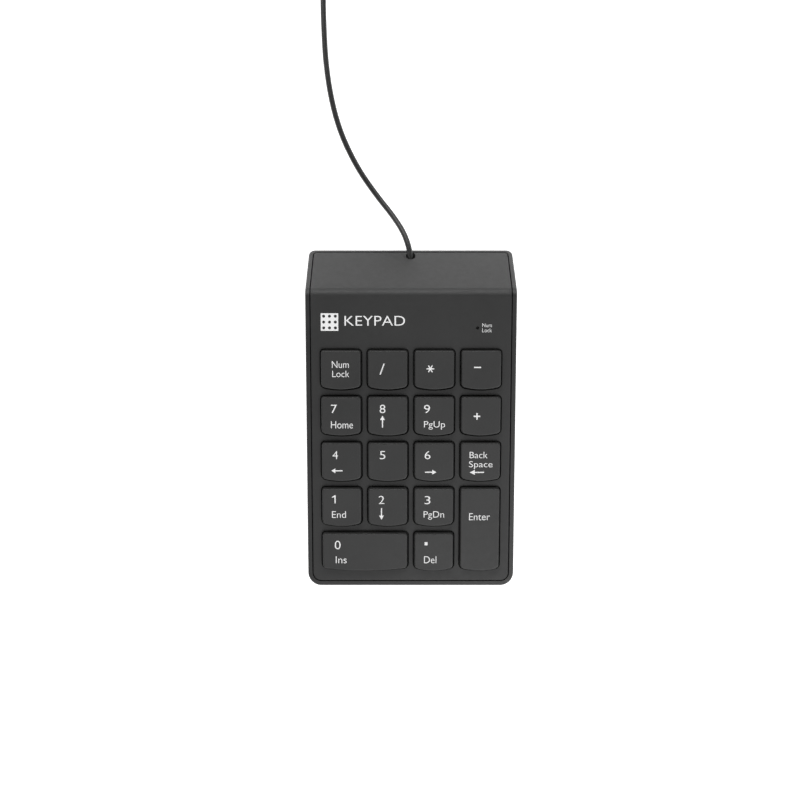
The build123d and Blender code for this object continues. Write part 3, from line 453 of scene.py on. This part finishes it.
def cap_skin(place, width, length):
    """The cap's shell, profile by profile: inner roof, inner wall, rounded lip, drafted outer wall, a
    quarter-round edge and the dished top."""
    roof = CAP_RISE - CAP_ROOF
    turns = np.radians(np.linspace(0, 90, 8))
    draft_top = CAP_DRAFT * (CAP_RISE + CAP_SKIRT)
    edge_inset = draft_top + CAP_EDGE * (1 - np.cos(turns)) - CAP_DRAFT * CAP_EDGE * (1 - np.sin(turns))
    edge_height = CAP_RISE - CAP_EDGE * (1 - np.sin(turns))
    inner = CAP_WALL + CAP_DRAFT * (roof + CAP_SKIRT)
    steps = [
        (inner, roof),
        (CAP_WALL, CAP_LIP - CAP_SKIRT),
        (CAP_WALL - CAP_LIP, -CAP_SKIRT),
        (CAP_LIP, -CAP_SKIRT),
        (0.0, CAP_LIP - CAP_SKIRT),
        *zip(edge_inset, edge_height),
    ]
    rings = [(cap_ring(width, length, inset), height) for inset, height in steps]
    inside, rim = rings[0][0], rings[-1][0]
    rings = [(inside * share, roof) for share in (0.02, 0.5)] + rings
    rings += [(rim * share, CAP_RISE) for share in (0.97, 0.9, 0.75, 0.55, 0.35, 0.15, 0.02)]
    tops = len(rings) - 7
    skin = []
    for number, (ring, height) in enumerate(rings):
        u, v = ring[:, 0], ring[:, 1]
        fall = dish(u, v, width, length) if number >= tops else 0.0
        skin.append(on_deck(place[0] + u, place[1] + v, height - fall))
    return stack(np.array(skin))


def post(place, outline, low, high):
    """A straight post on an outline of (u, v) points round its middle, from one height to another."""
    u, v = place[0] + outline[:, 0], place[1] + outline[:, 1]
    return stack(np.array([on_deck(u, v, np.full(len(u), height)) for height in (low, high)]))


def block(half_u, half_v):
    return np.array([(half_u, half_v), (-half_u, half_v), (-half_u, -half_v), (half_u, -half_v)], float)


def hooks(place, turned):
    """Two forked hooks under a wide cap, open along the wire that they ride on."""
    parts = []
    for side in (-1, 1):
        for prong in (-1, 1):
            middle = np.array([side * HOOK_PLACE, HOOK_OUT + prong * HOOK_SPREAD])
            outline = block(*HOOK_HALVES)
            if turned:
                middle, outline = middle[::-1], outline[:, ::-1]
            parts.append(post(np.array(place) + middle, outline, HOOK_LOW, POST_TOP))
    return parts


# ---- printed legends ---------------------------------------------------------------------
def word_mesh(word, weight):
    """Flat letters of a word as points and faces, (x, y) only, made a mesh before they are placed."""
    text = bpy.data.curves.new(word, "FONT")
    text.body = word
    text.resolution_u = 5
    text.offset = weight
    text.fill_mode = "FRONT"
    holder = bpy.data.objects.new(word, text)
    bpy.context.scene.collection.objects.link(holder)
    bpy.context.view_layer.update()
    flat = bpy.data.meshes.new_from_object(holder.evaluated_get(bpy.context.evaluated_depsgraph_get()))
    points = np.zeros(len(flat.vertices) * 3)
    flat.vertices.foreach_get("co", points)
    points = points.reshape(-1, 3)[:, :2]
    faces = [list(face.vertices) for face in flat.polygons]
    bpy.data.objects.remove(holder)
    bpy.data.curves.remove(text)
    bpy.data.meshes.remove(flat)
    return points, faces


def sign_shape(sign):
    """Polygons of a sign in its own box from 0 to 1, or None if it is a word."""
    bar, head = 0.24, 0.36
    low, high = 0.5 - bar / 2, 0.5 + bar / 2
    if sign in ("left", "right", "up", "down"):
        arrow = np.array([(0, 0.5), (head, 1), (head, high), (1, high), (1, low), (head, low), (head, 0)])
        arrow = arrow[::-1]
        if sign == "right":
            arrow = 1 - arrow
        if sign == "down":
            arrow = arrow[:, ::-1][::-1]
        if sign == "up":
            arrow = (1 - arrow)[:, ::-1][::-1]
        return [arrow]
    square = np.array([(0, 0), (1, 0), (1, 1), (0, 1)], float)
    if sign == "1":
        return [np.array([(0.68, 0), (1, 0), (1, 1), (0.74, 1), (0.0, 0.78), (0.0, 0.69), (0.68, 0.76)])]
    if sign in ("minus", "point"):
        return [square]
    if sign == "plus":
        a, b = 0.4, 0.6
        lower = [(a, 0), (b, 0), (b, a), (1, a), (1, b), (b, b)]
        upper = [(b, 1), (a, 1), (a, b), (0, b), (0, a), (a, a)]
        return [np.array(lower + upper)]
    if sign == "star":
        rays = []
        for angle in np.radians([0, 60, 120]):
            turn = np.array([[math.cos(angle), math.sin(angle)], [-math.sin(angle), math.cos(angle)]])
            rays.append(0.5 + np.array([(-0.5, -0.07), (0.5, -0.07), (0.5, 0.07), (-0.5, 0.07)]) @ turn)
        return rays
    return None


def printed_part(points, faces, height):
    """A film of ink: the flat faces at height, the same faces turned over just under them, and a wall
    between along every edge that only one face has. Height is a function of u and v."""
    u, v = points[:, 0], points[:, 1]
    top = on_deck(u, v, height(u, v) + INK_LIFT)
    bottom = on_deck(u, v, height(u, v) + INK_LIFT - INK_DEPTH)
    count = len(points)
    edges = {}
    for face in faces:
        for start, end in zip(face, face[1:] + face[:1]):
            edges[(start, end)] = edges.get((start, end), 0) + 1
    rim = [(start, end) for start, end in edges if (end, start) not in edges]
    walls = [[start, start + count, end + count, end] for start, end in rim]
    under = [[corner + count for corner in face[::-1]] for face in faces]
    return np.vstack([top, bottom]), faces + under + walls


def legend_parts(sign, box, height, weight=-0.006):
    """The parts of one printed sign or word that fills its box of low u, high u, low v, high v."""
    low = np.array([box[0], box[2]])
    size = np.array([box[1], box[3]]) - low
    shapes = sign_shape(sign)
    if shapes is None:
        points, faces = word_mesh(sign, weight)
        flat_low, flat_high = points.min(0), points.max(0)
        placed = low + (points - flat_low) / (flat_high - flat_low) * size
        return [printed_part(placed, faces, height)]
    parts = []
    for lift, shape in enumerate(shapes):
        placed = low + shape * size
        level = (lambda u, v, extra=0.002 * lift: height(u, v) + extra)
        parts.append(printed_part(placed, [list(range(len(shape)))], level))
    return parts


# ---- the keys ----------------------------------------------------------------------------
for name, column, row, wide, long, legends in KEYS:
    place = ((column + wide / 2 - 2) * PITCH, (2.5 - row - long / 2) * PITCH)
    width, length = wide * PITCH - SIDE_SPACING, long * PITCH - ROW_SPACING
    parts = [
        cap_skin(place, width, length),
        post(place, arc((0, 0), STEM_RADIUS, 0, 352.5, 48), STEM_BOTTOM, POST_TOP),
        post(place, block(*LUG_HALVES), LUG_LOW, LUG_HIGH),
    ]
    if wide * long > 1:
        parts += hooks(place, long > 1)
    piece(name + "_cap", parts, CAP_BLACK, name + "_body", replaces=[name])
    ink = []
    for sign, *box in legends:
        placed_box = (place[0] + box[0], place[0] + box[1], place[1] + box[2], place[1] + box[3])

        def height(u, v, place=place, width=width, length=length):
            return CAP_RISE - dish(u - place[0], v - place[1], width, length)

        ink += legend_parts(sign, placed_box, height)
    piece(name + "_legend", ink, INK_WHITE, name + "_body", sharp=20)


# ---- printing on the deck ----------------------------------------------------------------
def on_panel(u, v):
    return np.zeros_like(u)


deck_ink = []
for word, box in DECK_WORDS:
    deck_ink += legend_parts(word, box, on_panel)
piece("deck_printing", deck_ink, INK_WHITE, "case", sharp=20)


def badge_parts():
    """A rounded square of ink with nine round holes in it: a ring of strips between a grid of dots, made as
    a square sheet whose cells each run from a square outline to a circle."""
    size = BADGE_WIDTH / BADGE_CELLS
    count = 24
    angle = np.radians(np.linspace(0, 360, count, endpoint=False))
    circle = np.stack([np.cos(angle), np.sin(angle)], -1)
    square = circle / np.abs(circle).max(1, keepdims=True)
    around = np.arange(count)
    quads = np.stack([around + count, around, (around + 1) % count, (around + 1) % count + count], -1)
    parts = []
    for row in range(BADGE_CELLS):
        for column in range(BADGE_CELLS):
            centre = np.array(BADGE_PLACE) + (np.array([column, row]) - 1) * size
            points = np.vstack([centre + square * size / 2, centre + circle * BADGE_HOLE])
            parts.append(printed_part(points, [face[::-1] for face in quads.tolist()], on_panel))
    return parts


piece("deck_badge", badge_parts(), INK_WHITE, "case", sharp=20)

# ---- CAD nodes with their finishes -------------------------------------------------------
for node, material, slot in [
    ("top_cover", COVER_BLACK, "cover_plastic"),
    ("bottom_case", CASE_BLACK, "case_plastic"),
    ("guide_frame", FRAME_BLACK, "frame_plastic"),
    ("dome_mat", DOME_GREY, "dome_rubber"),
    ("feet", FOOT_BLACK, "foot_rubber"),
    ("case_screws", SCREW_ZINC, "screw_steel"),
    ("light_pipe", PIPE_SMOKE, "pipe_clear"),
    ("indicator_led", LAMP_CLEAR, "lamp_lens"),
    ("zero_stabiliser_wire", WIRE_STEEL, "wire_steel"),
    ("enter_stabiliser_wire", WIRE_STEEL, "wire_steel"),
    ("signal_wires", WIRE_RED, "wire_sleeve"),
]:
    refined(node, material)
for node, material in [
    ("membrane_top", FILM_CLEAR),
    ("membrane_spacer", FILM_CLEAR),
    ("membrane_bottom", FILM_CLEAR),
    ("support_plate", SHEET_STEEL),
    ("controller_board", BOARD_GREEN),
    ("controller_chip", CHIP_BLACK),
    ("wire_connector", SOCKET_WHITE),
    ("pressure_bar", FRAME_BLACK),
    ("pressure_pad", PAD_GREY),
    ("module_screws", SCREW_ZINC),
    ("board_screws", SCREW_ZINC),
    ("clamp_screws", SCREW_ZINC),
    ("cable_clamp", FRAME_BLACK),
    ("plug_shell", SHELL_NICKEL),
    ("plug_insert", TONGUE_WHITE),
    ("plug_contacts", CONTACT_GOLD),
]:
    nodes[node].data.materials.clear()
    nodes[node].data.materials.append(material)


# ---- cable -------------------------------------------------------------------------------
def coil_points():
    """Control points of the coil's turns, clockwise from above. Within a turn the radius and the height keep
    their lane for three quarters of it and then ease over to the next turn's. A quadratic spline runs inside
    its control points, so the radius is drawn out by that much. Near the tie the turns lift off the floor."""
    step = 360 / POINTS_PER_TURN
    slack = 0.75 + 0.25 * math.cos(math.radians(step))
    points = []
    for number, (lane, layer) in enumerate(COIL_TURNS):
        following = COIL_TURNS[min(number + 1, len(COIL_TURNS) - 1)]
        for index in range(POINTS_PER_TURN):
            share = min(max((index / POINTS_PER_TURN - 0.72) / 0.28, 0), 1)
            ease = share * share * (3 - 2 * share)
            radius = COIL_LANES[lane] + ease * (COIL_LANES[following[0]] - COIL_LANES[lane])
            level = layer + ease * (following[1] - layer)
            angle = COIL_START - index * step
            from_tie = (angle + 180) % 360 - 180
            lift = TIE_LIFT * math.exp(-((from_tie / 28) ** 2))
            wander = 0.12 * math.sin(2.3 * number + math.radians(angle) * 2)
            turn = math.radians(angle)
            x = COIL_CENTRE[0] + (radius + wander) / slack * math.cos(turn)
            y = COIL_CENTRE[1] + (radius + wander) / slack * math.sin(turn)
            points.append((x, y, CABLE_RADIUS * (1 + 2 * level) + lift))
    last = COIL_TURNS[-1]
    for index in range(5):
        turn = math.radians(COIL_START - index * step)
        x = COIL_CENTRE[0] + COIL_LANES[last[0]] / slack * math.cos(turn)
        y = COIL_CENTRE[1] + COIL_LANES[last[0]] / slack * math.sin(turn)
        points.append((x, y, CABLE_RADIUS * (1 + 2 * last[1]) - 0.16 * index))
    return points


cable_line = bpy.data.curves.new("usb_cable_line", "CURVE")
cable_line.dimensions = "3D"
spline = cable_line.splines.new("NURBS")
controls = [*CABLE_ROUTE, *coil_points(), *TAIL_ROUTE]
spline.points.add(len(controls) - 1)
spline.points.foreach_set("co", np.hstack([np.array(controls) * MM, np.ones((len(controls), 1))]).ravel())
spline.order_u = 3
spline.use_endpoint_u = True
spline.resolution_u = 6
cable_line.bevel_depth = CABLE_RADIUS * MM
cable_line.bevel_resolution = 3
cable_line.use_fill_caps = True
cable_line.materials.append(CABLE_BLACK)
cable = bpy.data.objects.new("usb_cable_sleeve", cable_line)
bpy.context.scene.collection.objects.link(cable)
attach(cable, "case")
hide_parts("usb_cable", "usb_cable_tail", "cable_coil")


# ---- tie ---------------------------------------------------------------------------------
def rounded_box(width, height, radius, count=8):
    """A rounded rectangle's outline round its middle, as (x, y) points."""
    half_x, half_y = width / 2 - radius, height / 2 - radius
    corners = [(half_x, half_y, 0), (-half_x, half_y, 90), (-half_x, -half_y, 180), (half_x, -half_y, 270)]
    return np.vstack([arc((x, y), radius, start, start + 90, count) for x, y, start in corners])


def tie_parts():
    """A flat strap round the bundle: its loop is a rounded rectangle in x and z, carried round a small
    rounded section of thickness and width; its latch block is a rounded block."""
    wrap = 4 * 2 * CABLE_RADIUS + 0.15
    middle = np.array([COIL_CENTRE[0] + sum(COIL_LANES) / 4, COIL_CENTRE[1], wrap / 2 + TIE_THICKNESS])
    section = rounded_box(TIE_THICKNESS, TIE_WIDTH, 0.3, 4)
    loops = []
    for out, wide in section:
        size = wrap + TIE_THICKNESS + 2 * out
        loop = rounded_box(size, size, 2.0 + out, 9)
        across = np.full(len(loop), middle[1] + wide)
        loops.append(np.stack([middle[0] + loop[:, 0], across, middle[2] + loop[:, 1]], -1))
    rings = np.array(loops).transpose(1, 0, 2)
    rings = np.concatenate([rings, rings[:1]])
    strap = stack(rings * MM, close_start=False, close_end=False)
    head_x = middle[0] + wrap / 2 + TIE_THICKNESS
    head = []
    for inset, x in [(0.5, -0.2), (0.0, 0.2), (0.0, 2.3), (0.15, 2.7), (0.5, 2.95)]:
        face = rounded_box(4.8 - 2 * inset, 4.4 - 2 * inset, 0.7, 6)
        along = np.full(len(face), head_x + x)
        head.append(np.stack([along, middle[1] + face[:, 0], middle[2] + face[:, 1]], -1))
    end = []
    for inset, z in [(0.25, 0.0), (0.0, 0.4), (0.0, 4.6), (0.35, 5.2)]:
        tail = rounded_box(0.9 - inset, TIE_WIDTH - 0.6 - 2 * inset, 0.2, 4)
        level = np.full(len(tail), middle[2] + 1.6 + z)
        end.append(np.stack([head_x + 1.4 + tail[:, 0], middle[1] + tail[:, 1], level], -1))
    return [strap, stack(np.array(head) * MM), stack(np.array(end) * MM)]


tie = piece("cable_tie_strap", tie_parts(), TIE_BLACK, "case", replaces=["cable_tie"])


# ---- plug --------------------------------------------------------------------------------
def plug_rings(stations):
    """Rounded-rectangle rings square to the plug's axis, one for each (x, width, height, corner)."""
    rings = []
    for x, width, height, corner in stations:
        outline = rounded_box(width, height, min(corner, width / 2 - 0.01, height / 2 - 0.01), 8)
        rings.append(np.stack([np.full(len(outline), x), PLUG_Y + outline[:, 0], PLUG_Z + outline[:, 1]], -1))
    return np.array(rings) * MM


def relief_stations():
    """The strain relief: a slim cone whose radius swells and dips six times, as its ribs and slots do."""
    x = np.linspace(RELIEF_REAR, RELIEF_FRONT, 85)
    share = (x - RELIEF_REAR) / (RELIEF_FRONT - RELIEF_REAR)
    wave = np.tanh(3.2 * np.sin(2 * np.pi * RELIEF_RIBS * share - 0.6))
    ribs = RIB_DEPTH * wave * (share > 0.04) * (share < 0.93)
    radius = RELIEF_RADIUS + RELIEF_GROWTH * share + ribs
    return [(place, 2 * r, 2 * r, r) for place, r in zip(x, radius)]


def body_stations():
    """The grip: its ends round off, and five shallow slots cross it behind the middle."""
    turns = np.radians(np.linspace(0, 90, 7))
    rear = [(7.0 + 1.4 * (1 - math.cos(t)), 1.4 * (1 - math.sin(t))) for t in turns]
    x = np.linspace(8.6, 30.2, 130)
    slot = 0.22 * np.clip(np.cos(2 * np.pi * (x - 12.0) / 2.2) * 2.4 - 1.4, 0, 1) * (x > 10.9) * (x < 21.9)
    front = [(30.2 + 0.8 * math.sin(t), 0.8 * (1 - math.cos(t))) for t in turns]
    stations = [*rear, *zip(x, slot), *front]
    return [
        (place, GRIP_WIDTH - 2 * inset, GRIP_HEIGHT - 2 * inset, GRIP_CORNER) for place, inset in stations
    ]


def overmould_parts():
    """The relief, and the grip with a pocket in its front where the steel shell goes in."""
    grip = body_stations()
    pocket = [(31.0, 12.3, 4.8, 0.5), (30.8, 12.05, 4.55, 0.4), (25.5, 12.05, 4.55, 0.4)]
    return [stack(plug_rings(relief_stations())), stack(plug_rings([*grip, *pocket]))]


overmould = piece(
    "plug_grip", overmould_parts(), PLUG_BLACK, "case", replaces=["plug_overmould"]
)


# ---- floor, light and camera -------------------------------------------------------------
FLOOR_REACH, FLOOR_GLOW = 3.0, 0.85
# how bright the sky is at each height from the horizon, 0, to the zenith, 1; the two ends come first
SKY = [(0.0, 1.0), (1.0, 0.06), (0.35, 0.88), (0.7, 0.44), (0.9, 0.14)]
SKY_STRENGTH = 0.82
EYE_PLACE, EYE_LENS, EYE_SENSOR = (-0.0045, 0.0072, 0.48625), 51.08, 36.0


def plain_floor():
    """A wide white sheet at Z = 0 that gives off most of its own light, so that only the dark close to
    the object shows on it."""
    mesh = bpy.data.meshes.new("studio_floor")
    corners = [(-FLOOR_REACH, -FLOOR_REACH, 0), (FLOOR_REACH, -FLOOR_REACH, 0)]
    corners += [(FLOOR_REACH, FLOOR_REACH, 0), (-FLOOR_REACH, FLOOR_REACH, 0)]
    mesh.from_pydata(corners, [], [(0, 1, 2, 3)])
    sheet = bpy.data.objects.new("studio_floor", mesh)
    bpy.context.scene.collection.objects.link(sheet)
    material, tree, shader, add = material_tree("studio_white")
    shader.inputs["Base Color"].default_value = (0.9, 0.9, 0.9, 1)
    shader.inputs["Roughness"].default_value = 0.9
    shader.inputs["Emission Color"].default_value = (1, 1, 1, 1)
    shader.inputs["Emission Strength"].default_value = FLOOR_GLOW
    mesh.materials.append(material)


def softbox(name, place, aim, width, length, power):
    """A rectangular area light that looks from its place at a point."""
    lamp = bpy.data.lights.new(name, "AREA")
    lamp.shape = "RECTANGLE"
    lamp.size, lamp.size_y = width, length
    lamp.energy = power
    holder = bpy.data.objects.new(name, lamp)
    bpy.context.scene.collection.objects.link(holder)
    holder.location = place
    holder.rotation_euler = (Vector(aim) - Vector(place)).to_track_quat("-Z", "Y").to_euler()


def studio_sky():
    """A white studio that is bright along the horizon and dims towards the zenith, as between softboxes."""
    world = bpy.data.worlds.new("studio")
    bpy.context.scene.world = world
    world.use_nodes = True
    tree = world.node_tree
    place = tree.nodes.new("ShaderNodeTexCoord")
    axes = tree.nodes.new("ShaderNodeSeparateXYZ")
    ramp = tree.nodes.new("ShaderNodeValToRGB")
    tree.links.new(place.outputs["Generated"], axes.inputs["Vector"])
    tree.links.new(axes.outputs["Z"], ramp.inputs["Fac"])
    for level, (height, bright) in enumerate(SKY):
        if level > 1:
            ramp.color_ramp.elements.new(height)
        ramp.color_ramp.elements[level].position = height
        ramp.color_ramp.elements[level].color = (bright, bright, bright, 1)
    background = tree.nodes["Background"]
    tree.links.new(ramp.outputs["Color"], background.inputs["Color"])
    background.inputs["Strength"].default_value = SKY_STRENGTH


plain_floor()
studio_sky()
softbox("rear_softbox", (-0.15, 0.75, 0.75), (0, 0.05, 0.02), 1.2, 0.4, 6.5)
softbox("front_softbox", (0.3, -0.65, 0.85), (0, 0, 0), 0.8, 0.4, 4.6)

bpy.context.scene.view_settings.view_transform = "Standard"
eye = bpy.data.cameras.new("main_view")
eye.lens = EYE_LENS
eye.sensor_width = EYE_SENSOR
eye.clip_start = 0.01
camera = bpy.data.objects.new("main_view", eye)
bpy.context.scene.collection.objects.link(camera)
camera.location = EYE_PLACE
bpy.context.scene.camera = camera
